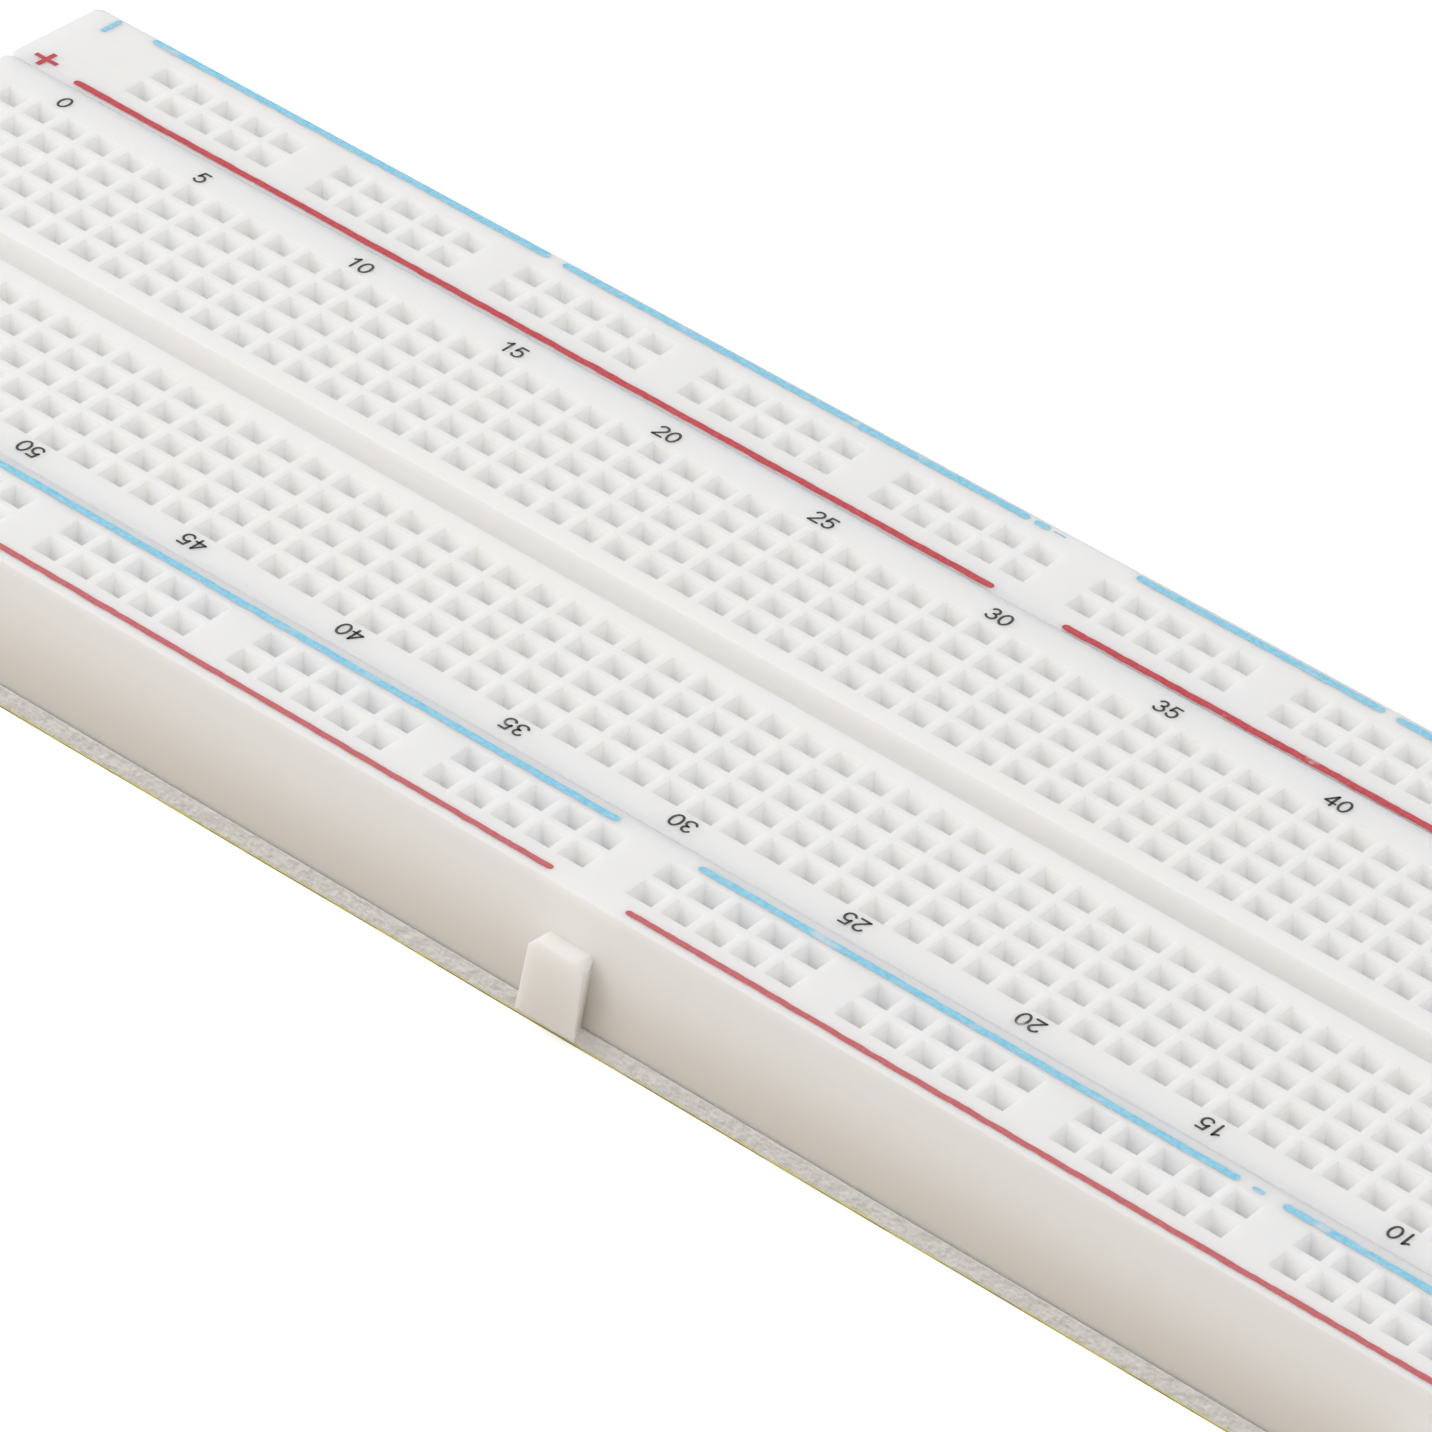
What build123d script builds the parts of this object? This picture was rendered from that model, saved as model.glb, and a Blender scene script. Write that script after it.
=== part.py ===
from build123d import *

import os
from collections import namedtuple

# Solderless breadboard: a terminal strip between two power rails. Each strip is a moulded housing
# with spring contacts pushed in from below, an adhesive foam backing and the backing's release liner.
# Dovetail tabs on the near side of each strip hold the next one, which lifts straight off them.
#
# Frame, in millimetres: +X along the board towards the last column, +Y from the near rail to the
# far rail, +Z up. The origin is the centre of the contact grid, on the surface the board stands on.

# Contact grid
PITCH = 2.54
COLUMNS = 63
ROWS_PER_BANK = 5
FIRST_ROW = 1.5 * PITCH  # centreline to the innermost row of each bank
RAIL_COLUMNS = (3, 61)  # first and last column that has rail contacts
RAIL_GROUP = 5  # rail contacts in a row before one is left out
RAIL_SPLIT_COLUMN = 32  # the rail circuits are broken here

# Strips, seen from above
LENGTH = 165.1
TERMINAL_NEAR_MARGIN = 3.68  # outermost row to the strip's near edge
TERMINAL_FAR_MARGIN = 3.98  # the far wall is thicker, because the slots are cut in it
NEAR_RAIL_WIDTH = 8.7
FAR_RAIL_WIDTH = 9.1
RAIL_NEAR_MARGIN = 3.33  # a rail's near edge to its first contact row
SEAM_GAP = 0.06

# Layers, from the bench up
LINER_THICKNESS = 0.1
FOAM_THICKNESS = 1.15
HOUSING_HEIGHT = 8.8
HOUSING_BASE = LINER_THICKNESS + FOAM_THICKNESS
HOUSING_TOP = HOUSING_BASE + HOUSING_HEIGHT
TOP_CHAMFER = 0.1
CORNER_CHAMFER = 0.4

# Channel along the middle of the terminal strip
CHANNEL_WIDTH = 2.4
CHANNEL_DEPTH = 3.0
CHANNEL_DRAFT = 0.15  # each wall leans in by this much towards the floor
CHANNEL_LIP = 0.08

# Dovetail tabs and slots
TAB_DEPTH = 1.4
TAB_NECK = 3.4
TAB_FACE = 4.4
TAB_HEIGHT = 5.4
TAB_CROWN = 0.5
TAB_LEAN = 0.2  # each flank leans in by this much at the top
TAB_CLEARANCE = 0.15
SIDE_TABS = (-61.0, 0, 61.0)  # along X
END_TABS = (-8.89, 8.89)  # along Y, on the terminal strip only
TAB_ROOT = 0.5  # overlap that joins a tab to its wall

# Contact openings and the cavities below them
FUNNEL_MOUTH = 1.9
FUNNEL_DEPTH = 1.2
SHAFT_SIDE = 1.0
ROOF_THICKNESS = 2.0  # top face to the roof of a cavity
CAVITY_WIDTH = 1.9
CAVITY_OVERHANG = 1.0  # cavity length beyond its first and last contact

# Spring contacts
SHEET = 0.18
SPRING_CHANNEL_WIDTH = 1.5
SPRING_CHANNEL_HEIGHT = 2.0
SPRING_PINCH_HEIGHT = 5.0
SPRING_PINCH_GAP = 0.16
SPRING_HEIGHT = 6.2
SPRING_TIP_WIDTH = 1.3
SPRING_FINGER = 1.8
SPRING_OVERHANG = 0.95
SPRING_BASE = HOUSING_BASE + 0.15

# Grouping of the terminal clips into nodes: one node per bank for each five numbered columns
CLIPS_PER_NODE = 5

LEVEL_TOLERANCE = 1e-4  # faces whose heights differ by less are on one level

Strip = namedtuple("Strip", "name near far is_terminal")
Cavity = namedtuple("Cavity", "contacts along")

BANK_EDGE = FIRST_ROW + (ROWS_PER_BANK - 1) * PITCH
TERMINAL = Strip("terminal_strip", -BANK_EDGE - TERMINAL_NEAR_MARGIN, BANK_EDGE + TERMINAL_FAR_MARGIN, True)
FAR_RAIL = Strip("far_rail", TERMINAL.far, TERMINAL.far + FAR_RAIL_WIDTH, False)
NEAR_RAIL = Strip("near_rail", TERMINAL.near - NEAR_RAIL_WIDTH, TERMINAL.near, False)


def column_x(column):
    """Place of a numbered column along the board."""
    return (column - (COLUMNS + 1) / 2) * PITCH


def save(part, name):
    """Write one node to its own file."""
    export_step(part, f"parts/{name}.step", write_pcurves=False)


# Outer shapes of the strips


def strip_block(strip, bottom, top):
    """Plain block over a strip's plan, set back from its neighbours by half the seam gap."""
    depth = strip.far - strip.near - SEAM_GAP
    centre = Pos(0, (strip.far + strip.near) / 2, bottom)
    return centre * Box(LENGTH, depth, top - bottom, align=(Align.CENTER, Align.CENTER, Align.MIN))


def dovetail(clearance, depth, bottom, top, root):
    """Dovetail that points along -Y from the wall y = 0, narrower above, with its corners cut off."""
    neck = TAB_NECK / 2 + clearance
    face = TAB_FACE / 2 + clearance
    crown = face - TAB_LEAN
    flare = TAB_LEAN * (HOUSING_BASE - bottom) / (TAB_HEIGHT - TAB_CROWN)
    plan = Polyline(
        (-neck, root), (-neck, 0), (-face, -depth), (face, -depth), (neck, 0), (neck, root), close=True
    )
    front = Polyline(
        (-face - flare, bottom),
        (face + flare, bottom),
        (crown, top - TAB_CROWN),
        (crown - TAB_CROWN, top),
        (-crown + TAB_CROWN, top),
        (-crown, top - TAB_CROWN),
        close=True,
    )
    upright = Pos(0, 0, bottom) * extrude(make_face(plan), top - bottom)
    lengthwise = extrude(Plane.XZ * make_face(front), depth + root, both=True)
    return upright & lengthwise


def tab():
    """Tab that stands on the level of the housing's underside."""
    return dovetail(0, TAB_DEPTH, HOUSING_BASE, HOUSING_BASE + TAB_HEIGHT, TAB_ROOT)


def slot():
    """Space for a neighbour's tab, open below so that a strip drops over the tabs from above."""
    depth = TAB_DEPTH - SEAM_GAP + TAB_CLEARANCE
    top = HOUSING_BASE + TAB_HEIGHT + TAB_CLEARANCE
    return dovetail(TAB_CLEARANCE, depth, -TAB_ROOT, top, TAB_ROOT)


def tab_places(strip):
    """Where tabs stand on a strip: along its near side, and on the terminal strip's right end."""
    near_wall = strip.near + SEAM_GAP / 2
    places = [Pos(x, near_wall, 0) for x in SIDE_TABS]
    if strip.is_terminal:
        places += [Pos(LENGTH / 2, y, 0) * Rot(0, 0, 90) for y in END_TABS]
    return places


def slot_places(strip):
    """Where the slots are: opposite the tabs, in the far side and in the left end."""
    far_wall = strip.far - SEAM_GAP / 2
    places = [Pos(x, far_wall, 0) for x in SIDE_TABS]
    if strip.is_terminal:
        places += [Pos(-LENGTH / 2, y, 0) * Rot(0, 0, 90) for y in END_TABS]
    return places


def channel_cutter():
    """Channel that a chip straddles, with sloping lips and slightly drafted walls."""
    mouth = CHANNEL_WIDTH / 2 + CHANNEL_LIP
    wall = CHANNEL_WIDTH / 2
    floor = wall - CHANNEL_DRAFT
    lip = HOUSING_TOP - CHANNEL_LIP
    profile = Polyline(
        (-mouth, HOUSING_TOP + CHANNEL_LIP),
        (-mouth, HOUSING_TOP),
        (-wall, lip),
        (-floor, HOUSING_TOP - CHANNEL_DEPTH),
        (floor, HOUSING_TOP - CHANNEL_DEPTH),
        (wall, lip),
        (mouth, HOUSING_TOP),
        (mouth, HOUSING_TOP + CHANNEL_LIP),
        close=True,
    )
    return extrude(Plane.YZ * make_face(profile), LENGTH, both=True)


def housing_blank(strip):
    """Outer shape of a housing, still without its contact openings."""
    blank = strip_block(strip, HOUSING_BASE, HOUSING_TOP)
    blank = chamfer(blank.edges().filter_by(Axis.Z), CORNER_CHAMFER)
    blank = chamfer(blank.faces().sort_by(Axis.Z)[-1].edges(), TOP_CHAMFER)
    blank += [place * tab() for place in tab_places(strip)]
    blank -= [place * slot() for place in slot_places(strip)]
    if strip.is_terminal:
        blank -= channel_cutter()
    return blank


# Contact openings: each is a square funnel and a square shaft, and each cavity serves several


def terminal_cavities():
    """One cavity for each column of each bank, running across the board."""
    cavities = []
    for column in range(1, COLUMNS + 1):
        for side in (-1, 1):
            rows = [side * (FIRST_ROW + row * PITCH) for row in range(ROWS_PER_BANK)]
            contacts = [(column_x(column), y) for y in sorted(rows)]
            cavities.append(Cavity(contacts, Axis.Y))
    return cavities


def rail_rows(strip):
    """Places of a rail's two contact rows, near one first."""
    first = strip.near + RAIL_NEAR_MARGIN
    return (first, first + PITCH)


def rail_columns(half):
    """Columns that have contacts in the first or the second half of a rail."""
    first, last = RAIL_COLUMNS
    used = [c for c in range(first, last + 1) if (c - first) % (RAIL_GROUP + 1) < RAIL_GROUP]
    return [c for c in used if (c < RAIL_SPLIT_COLUMN) == (half == 0)]


def rail_cavities(strip):
    """One cavity for each half of each row, running along the board."""
    return [
        Cavity([(column_x(column), y) for column in rail_columns(half)], Axis.X)
        for y in rail_rows(strip)
        for half in (0, 1)
    ]


def loop(x, y, z, size_x, size_y):
    """Corners of a level rectangle."""
    corners = ((-1, -1), (1, -1), (1, 1), (-1, 1))
    return [(x + i * size_x / 2, y + j * size_y / 2, z) for i, j in corners]


def outline(corners):
    return Wire.make_polygon(corners, close=True)


def walls(upper, lower):
    """The four faces that join two rectangles."""
    sides = [(i, (i + 1) % 4) for i in range(4)]
    return [Face(outline([upper[i], upper[j], lower[j], lower[i]])) for i, j in sides]


def cavity_loop(cavity, z):
    """Plan of a cavity at one height."""
    xs = [x for x, _ in cavity.contacts]
    ys = [y for _, y in cavity.contacts]
    length = max(max(xs) - min(xs), max(ys) - min(ys)) + 2 * CAVITY_OVERHANG
    size = (length, CAVITY_WIDTH) if cavity.along == Axis.X else (CAVITY_WIDTH, length)
    return loop((max(xs) + min(xs)) / 2, (max(ys) + min(ys)) / 2, z, *size)


def with_holes(face, loops):
    """The same flat face with those of the loops that lie inside it cut out."""
    box = face.bounding_box()
    inside = [c for c in loops if box.min.Y < c[0][1] and c[2][1] < box.max.Y]
    return Face(face.outer_wire(), [outline(corners) for corners in inside])


def pierce(blank, cavities):
    """Give a housing its cavities and contact openings."""
    roof = HOUSING_TOP - ROOF_THICKNESS
    throat = HOUSING_TOP - FUNNEL_DEPTH
    skin = []
    mouths = []
    pits = []
    for cavity in cavities:
        shafts = []
        for x, y in cavity.contacts:
            mouth = loop(x, y, HOUSING_TOP, FUNNEL_MOUTH, FUNNEL_MOUTH)
            waist = loop(x, y, throat, SHAFT_SIDE, SHAFT_SIDE)
            shaft = loop(x, y, roof, SHAFT_SIDE, SHAFT_SIDE)
            skin += walls(mouth, waist) + walls(waist, shaft)
            mouths.append(mouth)
            shafts.append(shaft)
        ceiling = cavity_loop(cavity, roof)
        pit = cavity_loop(cavity, HOUSING_BASE)
        skin.append(Face(outline(ceiling), [outline(shaft) for shaft in shafts]))
        skin += walls(ceiling, pit)
        pits.append(pit)
    for face in blank.faces():
        height = face.center().Z
        if abs(height - HOUSING_TOP) < LEVEL_TOLERANCE:
            face = with_holes(face, mouths)
        elif abs(height - HOUSING_BASE) < LEVEL_TOLERANCE:
            face = with_holes(face, pits)
        skin.append(face)
    return Solid(Shell(skin))


# Spring contacts: a folded channel with a pair of pinching fingers under each opening


def extrude_along(profile, start, end):
    """Solid with a profile drawn across X, from one place along X to another."""
    return Pos(start, 0, 0) * extrude(Plane.YZ * make_face(Polyline(*profile, close=True)), end - start)


def spring_strip(offsets):
    """Contact strip along X, with finger pairs at the given places."""
    half = SPRING_CHANNEL_WIDTH / 2
    rise = SPRING_CHANNEL_HEIGHT
    channel = (
        (-half, rise),
        (-half, 0),
        (half, 0),
        (half, rise),
        (half - SHEET, rise),
        (half - SHEET, SHEET),
        (-half + SHEET, SHEET),
        (-half + SHEET, rise),
    )
    pinch = SPRING_PINCH_GAP / 2
    tip = SPRING_TIP_WIDTH / 2
    strip = extrude_along(channel, offsets[0] - SPRING_OVERHANG, offsets[-1] + SPRING_OVERHANG)
    fingers = []
    for offset in offsets:
        for side in (-1, 1):
            finger = (
                (side * half, rise),
                (side * (half - SHEET), rise),
                (side * pinch, SPRING_PINCH_HEIGHT),
                (side * (tip - SHEET), SPRING_HEIGHT),
                (side * tip, SPRING_HEIGHT),
                (side * (pinch + SHEET), SPRING_PINCH_HEIGHT),
            )
            fingers.append(extrude_along(finger, offset - SPRING_FINGER / 2, offset + SPRING_FINGER / 2))
    return Pos(0, 0, SPRING_BASE) * (strip + fingers)


def terminal_clip():
    """Five-contact clip of the terminal strip, running across the board, centred on the third row."""
    middle = (ROWS_PER_BANK - 1) / 2
    return Rot(0, 0, 90) * spring_strip([(row - middle) * PITCH for row in range(ROWS_PER_BANK)])


def write_terminal_clips():
    """Write the terminal clips, a node for each numbered block of columns in each bank."""
    clip = terminal_clip()
    bank_centre = (FIRST_ROW + BANK_EDGE) / 2
    for bank, side in (("near", -1), ("far", 1)):
        for first in range(1, COLUMNS + 1, CLIPS_PER_NODE):
            last = min(first + CLIPS_PER_NODE - 1, COLUMNS)
            clips = [Pos(column_x(c), side * bank_centre, 0) * clip for c in range(first, last + 1)]
            save(Compound(clips), f"{bank}_bank_clips_{first:02d}_to_{last:02d}")


def write_rail_contacts(strip):
    """Write the four contact strips of a rail."""
    for row, y in zip(("near", "far"), rail_rows(strip)):
        for half, side in enumerate(("left", "right")):
            places = [column_x(column) for column in rail_columns(half)]
            save(Pos(0, y, 0) * spring_strip(places), f"{strip.name}_contact_{row}_row_{side}")


def write_strip(strip, cavities):
    """Write a strip's housing, foam backing and release liner."""
    slots = [place * slot() for place in slot_places(strip)]
    save(pierce(housing_blank(strip), cavities), f"{strip.name}_housing")
    save(strip_block(strip, LINER_THICKNESS, HOUSING_BASE) - slots, f"{strip.name}_foam_backing")
    save(strip_block(strip, 0, LINER_THICKNESS) - slots, f"{strip.name}_release_liner")


os.makedirs("parts", exist_ok=True)
write_strip(TERMINAL, terminal_cavities())
write_strip(FAR_RAIL, rail_cavities(FAR_RAIL))
write_strip(NEAR_RAIL, rail_cavities(NEAR_RAIL))
write_terminal_clips()
write_rail_contacts(FAR_RAIL)
write_rail_contacts(NEAR_RAIL)
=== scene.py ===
import math

import bpy
from mathutils import Matrix, Vector, noise


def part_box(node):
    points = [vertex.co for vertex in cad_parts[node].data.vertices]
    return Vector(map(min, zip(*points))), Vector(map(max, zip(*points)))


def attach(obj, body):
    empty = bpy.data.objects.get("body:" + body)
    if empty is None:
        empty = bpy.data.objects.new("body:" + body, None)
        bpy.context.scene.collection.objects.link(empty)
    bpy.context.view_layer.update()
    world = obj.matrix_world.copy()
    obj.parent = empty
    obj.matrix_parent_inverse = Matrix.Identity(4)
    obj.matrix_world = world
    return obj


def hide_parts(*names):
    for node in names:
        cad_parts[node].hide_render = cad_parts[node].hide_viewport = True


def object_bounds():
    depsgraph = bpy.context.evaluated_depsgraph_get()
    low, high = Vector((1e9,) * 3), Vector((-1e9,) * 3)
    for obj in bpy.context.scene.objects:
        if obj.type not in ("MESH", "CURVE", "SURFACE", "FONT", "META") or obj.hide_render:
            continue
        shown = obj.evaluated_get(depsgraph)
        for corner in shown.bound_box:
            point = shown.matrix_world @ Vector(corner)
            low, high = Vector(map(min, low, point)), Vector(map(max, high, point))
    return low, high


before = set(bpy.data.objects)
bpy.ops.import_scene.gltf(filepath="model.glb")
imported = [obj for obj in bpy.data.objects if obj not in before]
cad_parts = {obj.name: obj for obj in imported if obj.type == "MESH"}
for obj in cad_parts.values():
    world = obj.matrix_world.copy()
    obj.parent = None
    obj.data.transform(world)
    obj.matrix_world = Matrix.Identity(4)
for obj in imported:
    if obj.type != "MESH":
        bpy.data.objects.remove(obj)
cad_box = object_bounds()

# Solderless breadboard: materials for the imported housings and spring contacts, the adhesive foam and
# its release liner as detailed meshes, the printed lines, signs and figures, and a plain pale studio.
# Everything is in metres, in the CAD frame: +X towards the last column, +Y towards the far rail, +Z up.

MM = 0.001
PITCH = 2.54 * MM
STRIPS = ("far_rail", "terminal_strip", "near_rail")


def colour(r, g, b):
    """Linear colour with full alpha."""
    return (r, g, b, 1.0)


# Print layout: plain numbers are millimetres, those times MM are metres

# Figures, and the column numbers made of them
FIGURE_HEIGHT = 1.2
FIGURE_ADVANCE = 0.92
FIGURE_STROKE = 0.17 * MM
NUMBER_STEP = 5
LAST_NUMBER = 60
FAR_NUMBERS_Y = 16.08
NEAR_NUMBERS_Y = -16.02

# How far numbers are printed from their place along the board: these ones, and all the others
FAR_SHIFTS = {0: 0.15, 5: -0.9, 10: -0.35, 15: -0.5, 20: -0.8, 25: -1.2}
NEAR_SHIFTS = {10: 0.35, 15: -0.1, 45: 0.05}
OTHER_SHIFT = -0.3

# Heights of the ink's underside and top: it stands proud of the plastic, and starts just inside it
INK_PROUD = 0.012 * MM
INK_THICKNESS = 0.03 * MM
INK_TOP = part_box("terminal_strip_housing")[1].z + INK_PROUD
INK_LEVELS = (INK_TOP - INK_THICKNESS, INK_TOP)

# Plus and minus signs
SIGN_X = 80.35
SIGN_WIDTH = 0.38 * MM
PLUS_ARM = 0.93
MINUS_ARM = 0.8

# Rails: where each line and sign is across the board, each line's width, and the spans its break and
# worn gaps leave of it: from one x to another, and the share of the width left
LINE_START = -77.4
LINE_END = 77.4
RAIL_PRINT = {
    "far_rail": {
        "red": (18.4, 0.58, ((LINE_START, -2.45, 1), (2.85, LINE_END, 1))),
        "blue": (
            26.4,
            0.58,
            (
                (LINE_START, -43.85, 1),
                (-42.75, -5.45, 1),
                (-5.05, -3.85, 0.9),
                (-3.6, -2.6, 0.25),
                (2.85, 21.6, 1),
                (22.5, LINE_END, 1),
            ),
        ),
        "plus": 19.2,
        "minus": 25.75,
    },
    "near_rail": {
        "red": (-25.4, 0.49, ((LINE_START, -2.7, 1), (2.75, LINE_END, 1))),
        "blue": (
            -18.69,
            0.55,
            (
                (LINE_START, -3.0, 1),
                (3.0, 41.8, 1),
                (42.75, 43.6, 0.6),
                (44.9, LINE_END, 1),
            ),
        ),
        "plus": -24.6,
        "minus": -19.3,
    },
}


# Node-based materials

# Housing plastic: its two tones and their mottle, then the painted shade that darkens and warms it low on the
# walls, the painted glow just below the top, the painted glow tinted by the ink beside the lines, and its few
# dark flecks
PLASTIC_WARM = colour(0.93, 0.923, 0.905)
PLASTIC_COOL = colour(0.945, 0.945, 0.94)
PLASTIC_MOTTLE = colour(0.905, 0.90, 0.88)
# The next four colours are painted light: painted shade low on the walls, painted glow below the top, and
# painted glow tinted by blue and by red ink
PLASTIC_PAINTED_SHADE = colour(0.725, 0.69, 0.635)
PLASTIC_PAINTED_GLOW = colour(0.995, 0.985, 0.975)
PLASTIC_PAINTED_BLUE_GLOW = colour(0.95, 0.975, 1.0)
PLASTIC_PAINTED_RED_GLOW = colour(1.0, 0.945, 0.965)
PLASTIC_FLECK = colour(0.12, 0.11, 0.1)

# Heights between which the painted light fades: the painted shade low on the walls, the painted glow below
# the top and its end at the top face, and the painted glow tinted by the ink
PAINTED_SHADE_HEIGHTS = (1.0 * MM, 8.8 * MM)
PAINTED_GLOW_HEIGHTS = (7.4 * MM, 9.0 * MM)
TOP_FACE = (9.85 * MM, 9.98 * MM)
INK_GLOW = (7.0 * MM, 9.6 * MM)

# Places of the lines across the board, and how far the painted glow tinted by their ink reaches in the
# plastic
RED_LINES = [layout["red"][0] * MM for layout in RAIL_PRINT.values()]
BLUE_LINES = [layout["blue"][0] * MM for layout in RAIL_PRINT.values()]
RED_GLOW = 2.8 * MM
BLUE_GLOW = 4.0 * MM
BLUE_GLOW_STRENGTH = 0.85

# The near wall, and how far its tabs stick out: they are thin, so less of the painted shade is put on them
NEAR_WALL = -26.32 * MM
TAB_REACH = 1.4 * MM
TAB_PAINTED_SHADE_SHARE = 0.7

# Foam: its darker and paler cells, the paler rims to which the painted shade in the cells' hollows fades, and
# a few grey specks
FOAM_DARK = colour(0.73, 0.73, 0.72)
FOAM_PALE = colour(0.82, 0.82, 0.81)
FOAM_RIM_UNSHADED = colour(0.86, 0.86, 0.85)
FOAM_SPECK = colour(0.5, 0.49, 0.46)

# Release paper: its fibres and clouds, and its upright cut edge, which is much darker, in darker and less
# dark patches
PAPER_DARK = colour(0.64, 0.57, 0.2)
PAPER_LIGHT = colour(0.74, 0.68, 0.3)
PAPER_CLOUD = colour(0.8, 0.76, 0.42)
CUT_EDGE_DARKEST = colour(0.24, 0.215, 0.02)
CUT_EDGE_LESS_DARK = colour(0.58, 0.53, 0.06)

# Spring contacts, printed ink where it is worn, and the floor
NICKEL = colour(0.64, 0.62, 0.58)
TARNISHED_NICKEL = colour(0.5, 0.43, 0.33)
PALE_INK = colour(0.82, 0.81, 0.8)
FLOOR_DARK = colour(0.9, 0.9, 0.9)
FLOOR_LIGHT = colour(0.92, 0.92, 0.92)
WHITE = colour(1.0, 1.0, 1.0)


class Shader:
    """A material under construction: one Principled shader and short calls that wire nodes to it."""

    def __init__(self, name):
        self.material = bpy.data.materials.new(name)
        self.material.use_nodes = True
        self.tree = self.material.node_tree
        self.principled = self.tree.nodes["Principled BSDF"]
        self.place = self.add("ShaderNodeTexCoord").outputs["Object"]

    def add(self, kind, **settings):
        """Add a node. A setting that names an input is its value or the socket wired to it."""
        node = self.tree.nodes.new(kind)
        inputs = {}
        for key, value in settings.items():
            if hasattr(node, key):
                setattr(node, key, value)
            else:
                inputs[key] = value
        for key, value in inputs.items():
            self.plug(node.inputs[int(key[1:]) if key[1:].isdigit() else key.replace("_", " ")], value)
        return node

    def plug(self, socket, value):
        """Wire a socket to another one, or set its value."""
        if isinstance(value, bpy.types.NodeSocket):
            self.tree.links.new(value, socket)
        else:
            socket.default_value = value

    def set(self, **inputs):
        """Plug values or sockets into the Principled shader."""
        for key, value in inputs.items():
            self.plug(self.principled.inputs[key.replace("_", " ")], value)

    def stretched(self, scale):
        """Object coordinates scaled by a different amount along each axis."""
        return self.add("ShaderNodeMapping", Vector=self.place, Scale=scale).outputs["Vector"]

    def noise(self, size, detail=3.0, roughness=0.55, place=None, offset=0.0):
        """Smooth noise from 0 to 1 with features about size metres across."""
        at = place or self.place
        if offset:
            at = self.add("ShaderNodeMapping", Vector=at, Location=(offset, offset, offset)).outputs["Vector"]
        node = self.add("ShaderNodeTexNoise", Vector=at, Scale=1 / size, Detail=detail, Roughness=roughness)
        return node.outputs["Fac"]

    def remap(self, value, low, high, out_low=0.0, out_high=1.0):
        """Smoothly map the span low..high to out_low..out_high."""
        node = self.add("ShaderNodeMapRange", interpolation_type="SMOOTHSTEP", Value=value)
        node.inputs["From Min"].default_value = low
        node.inputs["From Max"].default_value = high
        node.inputs["To Min"].default_value = out_low
        node.inputs["To Max"].default_value = out_high
        return node.outputs["Result"]

    def axis(self, letter):
        """One of the object coordinates, in metres."""
        return self.add("ShaderNodeSeparateXYZ", Vector=self.place).outputs[letter]

    def close_to(self, value, centre, reach):
        """Mask that fades from 1 at a centre to 0 at a reach on either side of it."""
        off = self.add("ShaderNodeMath", operation="SUBTRACT", _0=value, _1=centre).outputs["Value"]
        away = self.add("ShaderNodeMath", operation="ABSOLUTE", _0=off).outputs["Value"]
        return self.remap(away, 0.0, reach, 1.0, 0.0)

    def times(self, a, b):
        """Product of two values."""
        return self.add("ShaderNodeMath", operation="MULTIPLY", _0=a, _1=b).outputs["Value"]

    def mix(self, factor, a, b):
        """Blend from colour a to colour b."""
        return self.add("ShaderNodeMixRGB", Fac=factor, Color1=a, Color2=b).outputs["Color"]

    def bump(self, height, distance, strength=1.0, after=None):
        """Bump from a height map, on top of an earlier bump."""
        node = self.add("ShaderNodeBump", Height=height, Distance=distance, Strength=strength)
        if after:
            self.plug(node.inputs["Normal"], after)
        return node.outputs["Normal"]


def specks(shader, cell, radius, share):
    """Mask of small round specks: one in each of a share of the cells."""
    cells = shader.add("ShaderNodeTexVoronoi", Vector=shader.place, Scale=1 / cell)
    near = shader.remap(cells.outputs["Distance"], 0.5 * radius / cell, radius / cell, 1.0, 0.0)
    pick = shader.add("ShaderNodeSeparateColor", Color=cells.outputs["Color"]).outputs["Red"]
    chosen = shader.add("ShaderNodeMath", operation="GREATER_THAN", _0=pick, _1=1 - share)
    return shader.times(near, chosen.outputs["Value"])


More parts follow.
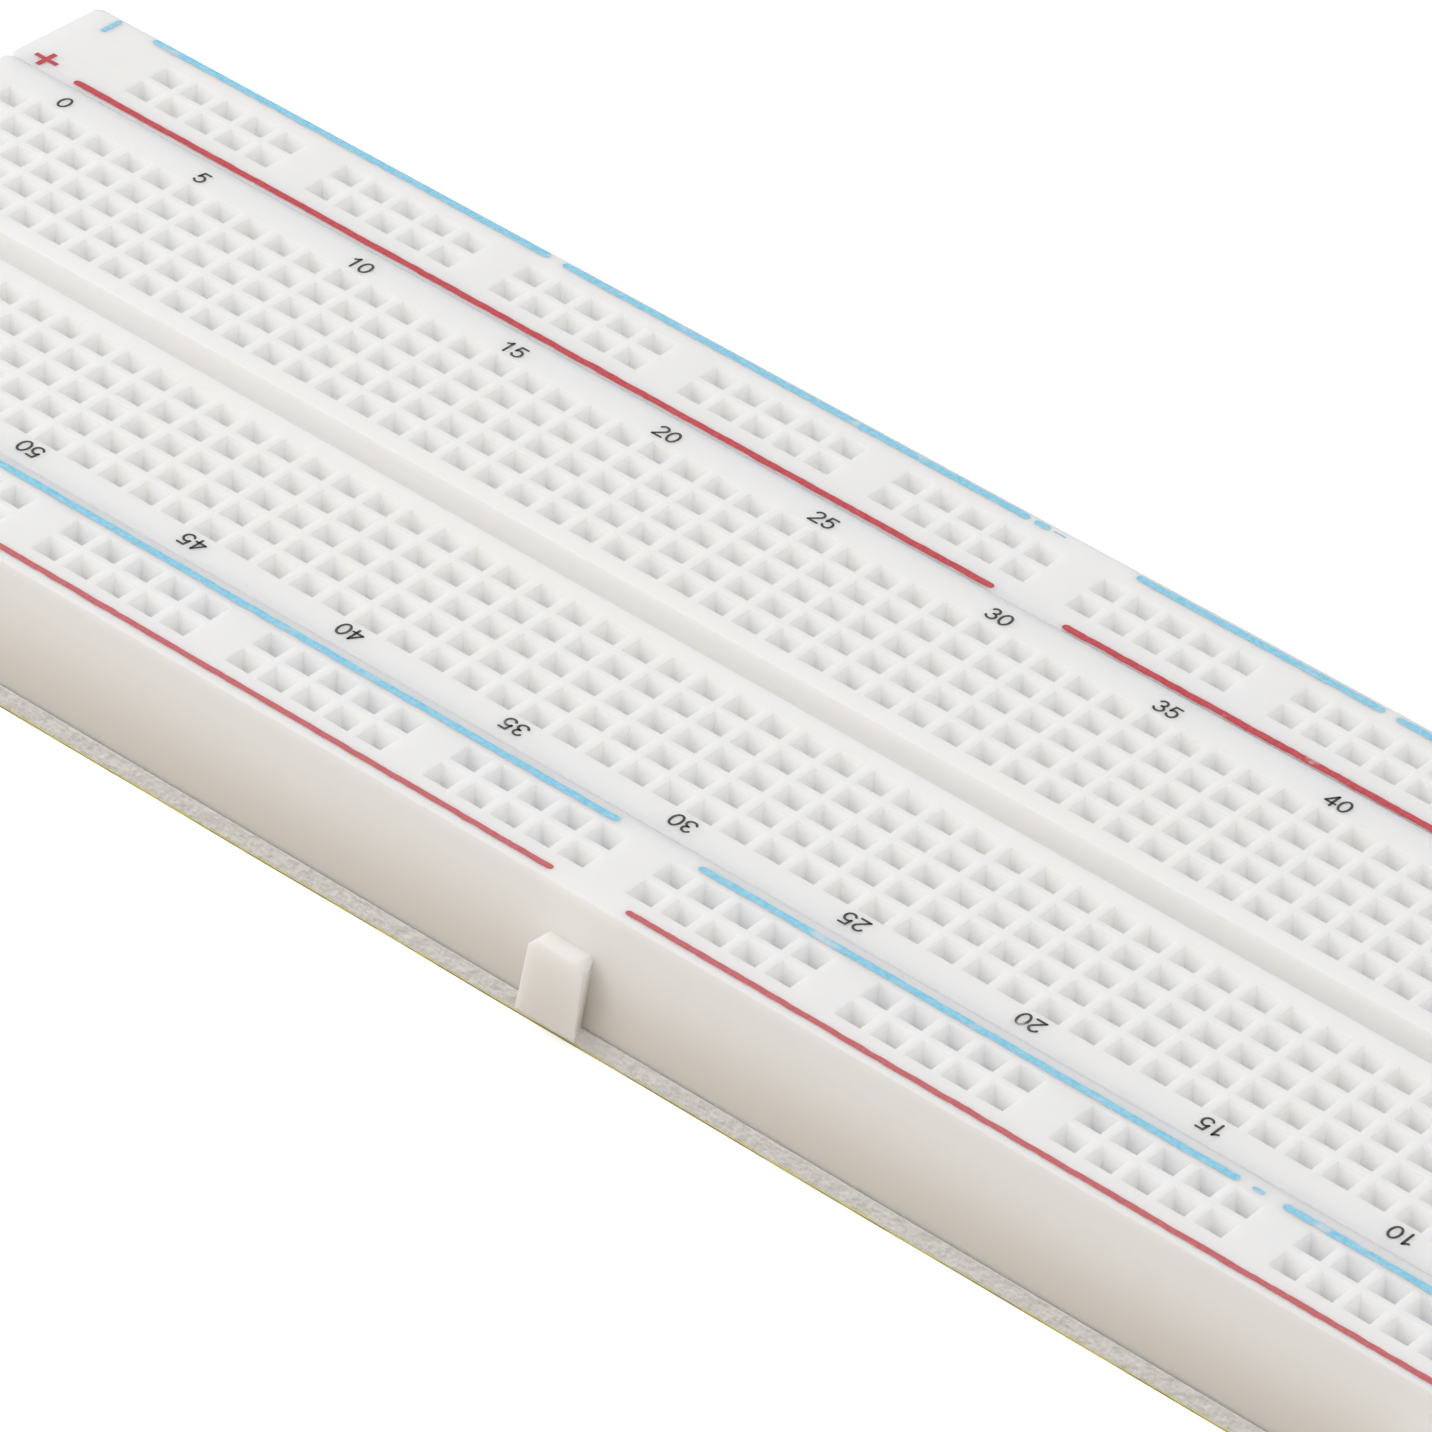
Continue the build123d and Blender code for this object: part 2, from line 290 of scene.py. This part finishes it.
def housing_plastic():
    """Moulded white ABS that lets light through, with painted shade that darkens and warms it low on its
    walls, a painted glow just below the top, and a painted glow tinted by the ink beside the lines."""
    s = Shader("housing_plastic")
    drift = s.remap(s.noise(30 * MM, 2.0), 0.35, 0.65)
    base = s.mix(drift, PLASTIC_WARM, PLASTIC_COOL)
    mottle = s.remap(s.noise(1.6 * MM, 4.0), 0.3, 0.7)
    base = s.mix(s.times(mottle, 0.3), base, PLASTIC_MOTTLE)
    height, across = s.axis("Z"), s.axis("Y")
    # Painted shade: darker and warmer towards the bottom of the walls, with less of it on the thin tabs
    low = s.remap(height, *PAINTED_SHADE_HEIGHTS, 1.0, 0.0)
    painted_shade_share = s.remap(across, NEAR_WALL - TAB_REACH, NEAR_WALL, TAB_PAINTED_SHADE_SHARE, 1.0)
    base = s.mix(s.times(low, painted_shade_share), base, PLASTIC_PAINTED_SHADE)
    # Painted glow: paler just below the top, ending at the top face
    painted_top_glow = s.times(s.remap(height, *PAINTED_GLOW_HEIGHTS), s.remap(height, *TOP_FACE, 1.0, 0.0))
    base = s.mix(painted_top_glow, base, PLASTIC_PAINTED_GLOW)
    # Painted glow tinted by the ink: high on the board, the plastic beside each blue and red line is tinted
    # towards the ink's colour
    upper = s.remap(height, *INK_GLOW)
    for y in BLUE_LINES:
        glow = s.times(upper, s.close_to(across, y, BLUE_GLOW))
        base = s.mix(s.times(glow, BLUE_GLOW_STRENGTH), base, PLASTIC_PAINTED_BLUE_GLOW)
    for y in RED_LINES:
        glow = s.times(upper, s.close_to(across, y, RED_GLOW))
        base = s.mix(glow, base, PLASTIC_PAINTED_RED_GLOW)
    flecks = specks(s, 9 * MM, 0.11 * MM, 0.12)
    base = s.mix(s.times(flecks, 0.7), base, PLASTIC_FLECK)
    grain = s.noise(0.22 * MM, 3.0)
    flow = s.noise(3.0 * MM, 2.0)
    normal = s.bump(flow, 0.02 * MM, 0.5)
    normal = s.bump(grain, 0.006 * MM, 0.5, normal)
    s.set(
        Base_Color=base,
        Roughness=s.remap(s.noise(0.8 * MM, 3.0), 0.3, 0.7, 0.36, 0.5),
        Normal=normal,
        Subsurface_Weight=1.0,
        Subsurface_Radius=(1.0, 0.93, 0.84),
        Subsurface_Scale=1.5 * MM,
        IOR=1.5,
        Specular_IOR_Level=0.25,
    )
    return s.material


def foam_tape():
    """Closed-cell foam: pale cells of mixed size, with painted shade in the hollows where the knife opened
    them, paler at their rims.
    """
    s = Shader("foam_tape")
    cells = s.add("ShaderNodeTexVoronoi", Vector=s.place, Scale=1 / (0.32 * MM), Randomness=1.0)
    hollow_shade_fade = s.remap(cells.outputs["Distance"], 0.1, 0.75)
    tone = s.remap(s.noise(0.5 * MM, 4.0, 0.7), 0.35, 0.65)
    base = s.mix(tone, FOAM_DARK, FOAM_PALE)
    # Painted shade: the hollows of the open cells keep the darker tones, and their rims turn paler
    base = s.mix(s.times(hollow_shade_fade, 0.45), base, FOAM_RIM_UNSHADED)
    base = s.mix(s.times(specks(s, 1.1 * MM, 0.09 * MM, 0.2), 0.4), base, FOAM_SPECK)
    normal = s.bump(cells.outputs["Distance"], 0.12 * MM, 0.7)
    normal = s.bump(s.noise(0.12 * MM, 2.0), 0.03 * MM, 0.6, normal)
    s.set(
        Base_Color=base,
        Roughness=s.remap(s.noise(0.6 * MM), 0.3, 0.7, 0.85, 0.97),
        Normal=normal,
        Subsurface_Weight=0.3,
        Subsurface_Radius=(1.0, 1.0, 1.0),
        Subsurface_Scale=0.4 * MM,
        Specular_IOR_Level=0.25,
    )
    return s.material


def release_paper():
    """Yellow siliconised paper with fine fibres, faint cockles and a duller cut edge."""
    s = Shader("release_paper")
    fibres = s.remap(s.noise(0.5 * MM, 5.0, 0.7, s.stretched((0.35, 1.0, 1.0))), 0.35, 0.65)
    clouds = s.remap(s.noise(7 * MM, 3.0), 0.3, 0.7)
    base = s.mix(fibres, PAPER_DARK, PAPER_LIGHT)
    base = s.mix(s.times(clouds, 0.4), base, PAPER_CLOUD)
    facing = s.add("ShaderNodeNewGeometry").outputs["Normal"]
    upright = s.add("ShaderNodeSeparateXYZ", Vector=facing).outputs["Z"]
    # The upright cut edge is drawn much darker than the top, in darker and less dark patches
    cut_edge = s.close_to(upright, 0.0, 0.5)
    edge_patches = s.remap(s.noise(3.5 * MM, 3.0, 0.6), 0.4, 0.62)
    base = s.mix(cut_edge, base, s.mix(edge_patches, CUT_EDGE_DARKEST, CUT_EDGE_LESS_DARK))
    normal = s.bump(s.noise(9 * MM, 2.0), 0.25 * MM, 0.35)
    normal = s.bump(fibres, 0.008 * MM, 0.5, normal)
    s.set(
        Base_Color=base,
        Roughness=s.remap(clouds, 0.0, 1.0, 0.42, 0.6),
        Normal=normal,
        Coat_Weight=0.15,
        Coat_Roughness=0.35,
    )
    return s.material


def contact_metal():
    """Nickel-plated spring sheet, rolled along X, with faint tarnish."""
    s = Shader("contact_metal")
    rolled = s.noise(0.25 * MM, 4.0, 0.6, s.stretched((0.08, 1.0, 1.0)))
    tarnish = s.remap(s.noise(2.2 * MM, 4.0), 0.5, 0.75)
    base = s.mix(tarnish, NICKEL, TARNISHED_NICKEL)
    s.set(
        Base_Color=base,
        Metallic=1.0,
        Roughness=s.remap(rolled, 0.3, 0.7, 0.22, 0.4),
        Normal=s.bump(rolled, 0.004 * MM, 0.4),
    )
    return s.material


def printed_ink(name, solid, thin, worn_share, near_fade=0.0):
    """Pad-printed ink: a little uneven, paler where it has rubbed thin, and thinner by near_fade at the
    near side."""
    s = Shader(name)
    density = s.remap(s.noise(0.35 * MM, 4.0, 0.65), 0.3, 0.7)
    base = s.mix(density, colour(*thin), colour(*solid))
    patches = s.remap(s.noise(2.4 * MM, 3.0, 0.6, offset=0.37), 0.72 - worn_share, 0.86 - worn_share)
    base = s.mix(s.times(patches, 0.55), base, PALE_INK)
    base = s.mix(s.remap(s.axis("Y"), NEAR_WALL, 0.0, near_fade, 0.0), base, PALE_INK)
    s.set(
        Base_Color=base,
        Roughness=s.remap(density, 0.0, 1.0, 0.62, 0.48),
        Normal=s.bump(density, 0.004 * MM, 0.5),
        Specular_IOR_Level=0.4,
    )
    return s.material


def floor_paper():
    """Matte white backdrop paper, clear from behind so that the underside can be looked at."""
    s = Shader("floor_paper")
    tone = s.noise(6 * MM, 3.0)
    s.set(
        Base_Color=s.mix(tone, FLOOR_DARK, FLOOR_LIGHT),
        Roughness=0.9,
        Specular_IOR_Level=0.1,
        Emission_Color=WHITE,
        Emission_Strength=FLOOR_GLOW,
    )
    behind = s.add("ShaderNodeNewGeometry").outputs["Backfacing"]
    clear = s.add("ShaderNodeBsdfTransparent").outputs["BSDF"]
    seen = s.add("ShaderNodeMixShader", _0=behind, _1=s.principled.outputs["BSDF"], _2=clear)
    s.plug(s.tree.nodes["Material Output"].inputs["Surface"], seen.outputs["Shader"])
    return s.material


MATERIALS = {
    "housing_plastic": housing_plastic(),
    "foam_tape": foam_tape(),
    "release_paper": release_paper(),
    "contact_metal": contact_metal(),
    "ink_red": printed_ink(
        "ink_red", solid=(0.55, 0.041, 0.06), thin=(0.635, 0.097, 0.112), worn_share=0.06, near_fade=0.1
    ),
    "ink_blue": printed_ink(
        "ink_blue", solid=(0.19, 0.61, 0.85), thin=(0.36, 0.73, 0.93), worn_share=0.13
    ),
    "ink_black": printed_ink(
        "ink_black", solid=(0.035, 0.033, 0.03), thin=(0.1, 0.095, 0.09), worn_share=0.08
    ),
}


# Mesh building

# Corners sharper than this cosine are mitred as if they were no sharper
MITRE_FLOOR = 0.6


def new_piece(name, vertices, faces, slot, body):
    """Make a mesh object in one of the materials, riding on a body."""
    mesh = bpy.data.meshes.new(name)
    mesh.from_pydata(vertices, [], faces)
    mesh.materials.append(MATERIALS[slot])
    piece = bpy.data.objects.new(name, mesh)
    bpy.context.scene.collection.objects.link(piece)
    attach(piece, body)
    return piece


def along_normals(outline, distances, closed=True):
    """A 2-D path moved to its right by a distance at each point, with mitred corners.

    An anticlockwise outline grows outwards by this."""
    moved = []
    count = len(outline)
    for index, point in enumerate(outline):
        before = outline[index - 1] if closed or index else None
        after = outline[(index + 1) % count] if closed or index < count - 1 else None
        sides = [(b - a).normalized() for a, b in ((before, point), (point, after)) if a and b]
        normals = [Vector((side.y, -side.x)) for side in sides]
        bisector = sum(normals, Vector((0.0, 0.0))).normalized()
        mitre = 1 / max(bisector.dot(normals[0]), MITRE_FLOOR)
        moved.append(point + bisector * distances[index] * mitre)
    return moved


def stack(rings, heights):
    """Vertices and faces of a solid whose outline changes with height, capped top and bottom."""
    count = len(rings[0])
    vertices = [(p.x, p.y, height) for ring, height in zip(rings, heights) for p in ring]
    faces = []
    for level in range(len(rings) - 1):
        low, high = level * count, (level + 1) * count
        for index in range(count):
            after = (index + 1) % count
            faces.append((low + index, low + after, high + after, high + index))
    faces.append(tuple(reversed(range(count))))
    faces.append(tuple(range((len(rings) - 1) * count, len(rings) * count)))
    return vertices, faces


# Adhesive foam and release liner

# The outside of the board, and the band along it in which a sheet's edge counts as free
BOARD_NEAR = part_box("near_rail_foam_backing")[0].y
BOARD_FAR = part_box("far_rail_foam_backing")[1].y
BOARD_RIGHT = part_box("terminal_strip_foam_backing")[1].x
OUTER_BAND = 0.6 * MM

# Reading a sheet's plan: how squarely its top faces up, and the digits that tell its corners apart
FACING_UP = 0.9
PLACE_DIGITS = 6

# Foam: the spacing of its points, its open cells, and how its cut wall stands
FOAM_CELL = 0.36 * MM
FOAM_COARSE = 2.2 * FOAM_CELL
FOAM_FINE = 0.9 * FOAM_CELL
COARSE_SHARE = 0.7
FOAM_ROWS = 5
FOAM_TEAR = 0.12 * MM
FOAM_BULGE = 0.16 * MM
FOAM_CLEARANCE = 0.02 * MM
FOAM_CURL = 0.14 * MM

# Liner: the spacing of its points, and how its edge wanders and stands out
LINER_STEP = 0.8 * MM
LINER_WANDER = 0.05 * MM
LINER_WAVE = 11 * MM
LINER_OVERHANG = 0.17 * MM


def outline_of(node):
    """Plan outline of a packed sheet, anticlockwise from above."""
    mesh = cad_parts[node].data
    places = [(round(v.co.x, PLACE_DIGITS), round(v.co.y, PLACE_DIGITS)) for v in mesh.vertices]
    edges = set()
    for face in mesh.polygons:
        if face.normal.z > FACING_UP:
            corners = [places[index] for index in face.vertices]
            edges.update(zip(corners, corners[1:] + corners[:1]))
    following = {start: end for start, end in edges if (end, start) not in edges}
    outline = [min(following)]
    while following[outline[-1]] != outline[0]:
        outline.append(following[outline[-1]])
    return outline


def resampled(outline, spacing):
    """The outline's corners, with points between them about spacing apart."""
    points = []
    for start, end in zip(outline, outline[1:] + outline[:1]):
        start, end = Vector(start), Vector(end)
        steps = max(1, round((end - start).length / spacing))
        points += [start.lerp(end, step / steps) for step in range(steps)]
    return points


def is_exposed(point):
    """Whether a point of a strip's outline is on the outside of the whole board."""
    return min(point.y - BOARD_NEAR, BOARD_FAR - point.y, BOARD_RIGHT - abs(point.x)) < OUTER_BAND


def foam_backing(strip):
    """Foam tape whose cut walls show open cells. Where it is free it bulges and curls over the wall's
    foot."""
    node = f"{strip}_foam_backing"
    low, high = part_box(node)
    outline = resampled(outline_of(node), FOAM_CELL)
    exposed = [is_exposed(point) for point in outline]
    levels = [(low.z + (high.z - low.z) * row / FOAM_ROWS, 0.0) for row in range(FOAM_ROWS + 1)]
    levels += [(high.z + FOAM_CURL, 0.0), (high.z + FOAM_CURL, 1.0), (high.z, 1.0)]
    rings, heights = [], []
    for height, tucked in levels:
        offsets = []
        for point, free in zip(outline, exposed):
            place = Vector((point.x, point.y, height))
            coarse = 0.5 + noise.noise(place / FOAM_COARSE)
            fine = 0.5 + noise.noise(place / FOAM_FINE)
            torn = FOAM_TEAR * max(0.0, COARSE_SHARE * coarse + (1 - COARSE_SHARE) * fine)
            bulge = FOAM_BULGE if free else -FOAM_CLEARANCE
            offsets.append(-FOAM_CLEARANCE if tucked or height > high.z and not free else bulge - torn)
        rings.append(along_normals(outline, offsets))
        heights.append(height)
    piece = new_piece(f"{node}_cut", *stack(rings, heights), "foam_tape", strip)
    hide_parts(node)
    return piece


def release_liner(strip):
    """Release paper cut with the foam, so its edge wanders a little around the foam's."""
    node = f"{strip}_release_liner"
    low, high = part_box(node)
    outline = resampled(outline_of(node), LINER_STEP)
    offsets = []
    for point in outline:
        wander = LINER_WANDER * noise.noise(Vector((point.x, point.y, 0)) / LINER_WAVE)
        offsets.append(wander + (LINER_OVERHANG if is_exposed(point) else -FOAM_CLEARANCE))
    ring = along_normals(outline, offsets)
    piece = new_piece(f"{node}_paper", *stack([ring, ring], [low.z, high.z]), "release_paper", strip)
    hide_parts(node)
    return piece


# Print

# Round ends and arcs: the steps of a half circle, and the degrees of a step
ROUND_STEPS = 6
ARC_STEP = 15

# Lines: the spacing of their points, the roughness of their edges and its wavelength, and their slant
LINE_STEP = 0.35 * MM
LINE_RAGGED = 0.06 * MM
INK_RIPPLE = 0.7 * MM
PRINT_SLANT = -0.0025


class Print:
    """Flat strokes of ink on the top face, gathered into one piece."""

    def __init__(self):
        self.vertices = []
        self.faces = []

    def add(self, vertices, faces):
        """Add a closed solid."""
        first = len(self.vertices)
        self.vertices += vertices
        self.faces += [tuple(first + index for index in face) for face in faces]

    def stroke(self, path, width, ragged=0.0):
        """A stroke with round ends along an open path. Ragged is how far its edges wander."""
        half = width / 2
        path = [Vector(point) for point in path]
        left = along_normals(path, [-half + wander(p, ragged, 0.0) for p in path], closed=False)
        right = along_normals(path, [half + wander(p, ragged, 0.5) for p in path], closed=False)
        outline = right + round_end(left[-1], right[-1]) + left[::-1] + round_end(right[0], left[0])
        self.add(*stack([outline, outline], INK_LEVELS))

    def ring(self, path, width):
        """A stroke along a closed anticlockwise path."""
        path = [Vector(point) for point in path]
        outer = along_normals(path, [width / 2] * len(path))
        inner = along_normals(path, [-width / 2] * len(path))
        count = len(path)
        corners = [(p.x, p.y, z) for loop in (outer, inner) for z in INK_LEVELS for p in loop]
        outer_low, outer_high, inner_low, inner_high = (k * count for k in range(4))
        faces = []
        for index in range(count):
            after = (index + 1) % count
            for a, b in (
                (outer_low, outer_high),
                (outer_high, inner_high),
                (inner_high, inner_low),
                (inner_low, outer_low),
            ):
                faces.append((a + index, a + after, b + after, b + index))
        self.add(corners, faces)

    def cross(self, x, y, arm, width):
        """A plus sign, as one outline."""
        half = width / 2
        quarter = [Vector((half, half)), Vector((half, arm)), Vector((-half, arm))]
        turns = [Matrix.Rotation(math.radians(90 * step), 2) for step in range(4)]
        outline = [Vector((x, y)) + turn @ corner for turn in turns for corner in quarter]
        self.add(*stack([outline, outline], INK_LEVELS))

    def piece(self, name, slot, body):
        """Make the object."""
        return new_piece(name, self.vertices, self.faces, slot, body)


def wander(point, amount, seed):
    """Uneven ink edge: a small shift that changes along the stroke."""
    return amount * noise.noise(Vector((point.x / INK_RIPPLE, point.y / INK_RIPPLE, seed)))


def round_end(start, end):
    """Points of a half circle from one side of a stroke to the other, anticlockwise."""
    centre = (start + end) / 2
    arm = end - centre
    turns = [math.pi * step / ROUND_STEPS for step in range(1, ROUND_STEPS)]
    return [centre + Matrix.Rotation(turn, 2) @ arm for turn in turns]


def rail_line(ink, y, width, spans):
    """A supply line in spans: from one x to another in millimetres, and the share of its width left.

    The film was a touch askew when the lines were printed, so they run out of true by PRINT_SLANT."""
    for start, end, share in spans:
        tip = width * MM * share / 2
        start, end = start * MM + tip, end * MM - tip
        steps = max(1, round((end - start) / LINE_STEP))
        xs = [start + (end - start) * step / steps for step in range(steps + 1)]
        ink.stroke([(x, y * MM + PRINT_SLANT * x) for x in xs], width * MM * share, LINE_RAGGED)


def arc(x, y, rx, ry, start, end):
    """Points along part of an ellipse, with angles in degrees."""
    steps = max(3, round(abs(end - start) / ARC_STEP))
    angles = [math.radians(start + (end - start) * step / steps) for step in range(steps + 1)]
    return [(x + rx * math.cos(a), y + ry * math.sin(a)) for a in angles]


# Plain stroked figures, one high and centred on x = 0: open strokes first, then closed rings
FIGURES = {
    "0": ([], [arc(0, 0.5, 0.28, 0.5, 0, 345)]),
    "1": ([[(-0.18, 0.78), (-0.04, 0.85), (0.06, 0.99)], [(0.07, 1.0), (0.07, 0.0)]], []),
    "2": ([arc(0, 0.73, 0.25, 0.27, 165, -35) + [(-0.27, 0.0)], [(-0.27, 0.0), (0.29, 0.0)]], []),
    "3": ([arc(-0.01, 0.755, 0.22, 0.245, 160, -85), arc(0, 0.265, 0.27, 0.265, 85, -160)], []),
    "4": ([[(0.12, 0.0), (0.12, 1.0)], [(0.12, 1.0), (-0.3, 0.29)], [(-0.3, 0.29), (0.3, 0.29)]], []),
    "5": ([[(0.24, 1.0), (-0.15, 1.0), (-0.22, 0.52)], arc(-0.01, 0.33, 0.27, 0.33, 140, -150)], []),
    "6": (
        [arc(0.02, 0.5, 0.29, 0.5, 50, 180) + [(-0.27, 0.31)]],
        [arc(0, 0.31, 0.27, 0.31, 0, 345)],
    ),
}


def write_number(ink, number, x, y, turned):
    """Write a number centred on a place in millimetres, upright or turned half round."""
    text = str(number)
    sign = -1 if turned else 1
    for index, digit in enumerate(text):
        shift = (index - (len(text) - 1) / 2) * FIGURE_ADVANCE

        def placed(point):
            u = shift + point[0] * FIGURE_HEIGHT
            v = (point[1] - 0.5) * FIGURE_HEIGHT
            return ((x + sign * u) * MM, (y + sign * v) * MM)

        strokes, rings = FIGURES[digit]
        for path in strokes:
            ink.stroke([placed(point) for point in path], FIGURE_STROKE)
        for path in rings:
            ink.ring([placed(point) for point in path], FIGURE_STROKE)


def print_rail(rail):
    """The red and blue lines of a power rail, with a plus and a minus sign at both ends."""
    layout = RAIL_PRINT[rail]
    red, blue, signs_red, signs_blue = Print(), Print(), Print(), Print()
    rail_line(red, *layout["red"])
    rail_line(blue, *layout["blue"])
    for x in (-SIGN_X, SIGN_X):
        signs_red.cross(x * MM, layout["plus"] * MM, PLUS_ARM * MM, SIGN_WIDTH)
        y = layout["minus"]
        signs_blue.stroke([(x * MM, (y - MINUS_ARM) * MM), (x * MM, (y + MINUS_ARM) * MM)], SIGN_WIDTH)
    red.piece(f"{rail}_red_line", "ink_red", rail)
    blue.piece(f"{rail}_blue_line", "ink_blue", rail)
    signs_red.piece(f"{rail}_plus_signs", "ink_red", rail)
    signs_blue.piece(f"{rail}_minus_signs", "ink_blue", rail)


def print_numbers():
    """Column numbers along both long edges of the terminal strip, each row readable from its side."""
    far, near = Print(), Print()
    for number in range(0, LAST_NUMBER + 1, NUMBER_STEP):
        x = (number - LAST_NUMBER / 2) * PITCH / MM
        far_x = x + FAR_SHIFTS.get(number, OTHER_SHIFT)
        near_x = NEAR_SHIFTS.get(number, OTHER_SHIFT) - x
        write_number(far, number, far_x, FAR_NUMBERS_Y, turned=False)
        write_number(near, number, near_x, NEAR_NUMBERS_Y, turned=True)
    far.piece("far_column_numbers", "ink_black", "terminal_strip")
    near.piece("near_column_numbers", "ink_black", "terminal_strip")


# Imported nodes

# Housings: corners this near are joined, and edges that turn by more degrees than this are rounded
WELD_DISTANCE = 0.001 * MM
EDGE_ANGLE = 35
EDGE_WIDTH = 0.07 * MM
EDGE_SEGMENTS = 2


def dress_nodes():
    """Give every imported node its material, and round the moulded edges of the housings."""
    for name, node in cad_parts.items():
        slot = node.data.materials[0].name
        node.data.materials[0] = MATERIALS[slot]
        if name.endswith("_housing"):
            weld = node.modifiers.new("joined_corners", "WELD")
            weld.merge_threshold = WELD_DISTANCE
            edge = node.modifiers.new("moulded_edges", "BEVEL")
            edge.limit_method = "ANGLE"
            edge.angle_limit = math.radians(EDGE_ANGLE)
            edge.width = EDGE_WIDTH
            edge.segments = EDGE_SEGMENTS


# Studio

# Floor: how far it reaches each way, how far it is below the liner, and its own light
FLOOR_REACH = 3.0
FLOOR_GAP = 0.02 * MM
FLOOR_GLOW = 0.5

# Camera: its place and what it faces, both from the middle of the top face, its roll in degrees, and
# its lens and sensor in millimetres
CAMERA_PLACE = Vector((221.48, -376.16, 300.96)) * MM
CAMERA_AIM = Vector((-5.63, -5.81, 0.0)) * MM
CAMERA_ROLL = 10.260
CAMERA_LENS = 222.73
CAMERA_SENSOR = 36

# Softbox at the left of the near side
KEY_PLACE = (-0.45, -0.4, 0.5)
KEY_SIZE = 0.5
KEY_WATTS = 1.35
KEY_TINT = (1.0, 0.99, 0.97)

# World light: the bright side of the sky, and the warm bounce from low in front
SKY_TOWARDS = (-0.55, -0.5, 0.9)
SKY_DIM = (0.39, 0.39, 0.39)
SKY_BRIGHT = (0.915, 0.915, 0.915)
BOUNCE_TOWARDS = (0.0, -0.5, -0.86)
BOUNCE_AWAY = (1.045, 1.055, 1.065)
BOUNCE_FACING = (0.85, 0.76, 0.665)


def studio_floor():
    """Plain pale floor that only the camera sees, so that the fill light stays even."""
    mesh = bpy.data.meshes.new("floor")
    signs = ((-1, -1), (1, -1), (1, 1), (-1, 1))
    corners = [(x * FLOOR_REACH, y * FLOOR_REACH, -FLOOR_GAP) for x, y in signs]
    mesh.from_pydata(corners, [], [(0, 1, 2, 3)])
    mesh.materials.append(floor_paper())
    floor = bpy.data.objects.new("floor", mesh)
    floor.visible_diffuse = False
    bpy.context.scene.collection.objects.link(floor)


def studio_sky():
    """World light that rises smoothly towards the bright side, with warm bounce from low in front."""
    world = bpy.data.worlds.new("studio")
    bpy.context.scene.world = world
    world.use_nodes = True
    tree = world.node_tree
    direction = tree.nodes.new("ShaderNodeTexCoord").outputs["Generated"]

    def ramp(towards, low, high):
        """Colour that runs from low to high with the direction's agreement with an axis."""
        agreement = tree.nodes.new("ShaderNodeVectorMath")
        agreement.operation = "DOT_PRODUCT"
        agreement.inputs[1].default_value = Vector(towards).normalized()
        tree.links.new(direction, agreement.inputs[0])
        rescale = tree.nodes.new("ShaderNodeMapRange")
        rescale.inputs["From Min"].default_value = -1.0
        tree.links.new(agreement.outputs["Value"], rescale.inputs["Value"])
        blend = tree.nodes.new("ShaderNodeValToRGB")
        blend.color_ramp.elements[0].color = colour(*low)
        blend.color_ramp.elements[1].color = colour(*high)
        tree.links.new(rescale.outputs["Result"], blend.inputs["Fac"])
        return blend.outputs["Color"]

    tint = tree.nodes.new("ShaderNodeMixRGB")
    tint.blend_type = "MULTIPLY"
    tint.inputs["Fac"].default_value = 1.0
    tree.links.new(ramp(SKY_TOWARDS, SKY_DIM, SKY_BRIGHT), tint.inputs["Color1"])
    tree.links.new(ramp(BOUNCE_TOWARDS, BOUNCE_AWAY, BOUNCE_FACING), tint.inputs["Color2"])
    tree.links.new(tint.outputs["Color"], tree.nodes["Background"].inputs["Color"])


def softbox(name, place, aim, size, watts, tint):
    """Square area light that faces a point."""
    data = bpy.data.lights.new(name, "AREA")
    data.size = size
    data.energy = watts
    data.color = tint
    light = bpy.data.objects.new(name, data)
    light.location = place
    light.rotation_euler = (Vector(aim) - Vector(place)).to_track_quat("-Z", "Y").to_euler()
    bpy.context.scene.collection.objects.link(light)


def camera():
    """Camera at the photograph's angle: long lens, high and to the right of the near side."""
    top = cad_box[1].z
    position = CAMERA_PLACE + Vector((0, 0, top))
    aim = CAMERA_AIM + Vector((0, 0, top))
    forward = (aim - position).normalized()
    level = forward.cross(Vector((0, 0, 1))).normalized()
    roll = math.radians(CAMERA_ROLL)
    right = math.cos(roll) * level + math.sin(roll) * level.cross(forward)
    up = right.cross(forward)
    data = bpy.data.cameras.new("camera")
    data.lens = CAMERA_LENS
    data.sensor_width = CAMERA_SENSOR
    holder = bpy.data.objects.new("camera", data)
    holder.matrix_world = Matrix.Translation(position) @ Matrix((right, up, -forward)).transposed().to_4x4()
    bpy.context.scene.collection.objects.link(holder)
    bpy.context.scene.camera = holder


dress_nodes()
for strip in STRIPS:
    foam_backing(strip)
    release_liner(strip)
for rail in RAIL_PRINT:
    print_rail(rail)
print_numbers()
studio_floor()
studio_sky()
softbox("key", KEY_PLACE, (0, 0, 0), KEY_SIZE, KEY_WATTS, KEY_TINT)
camera()
bpy.context.scene.view_settings.view_transform = "Standard"
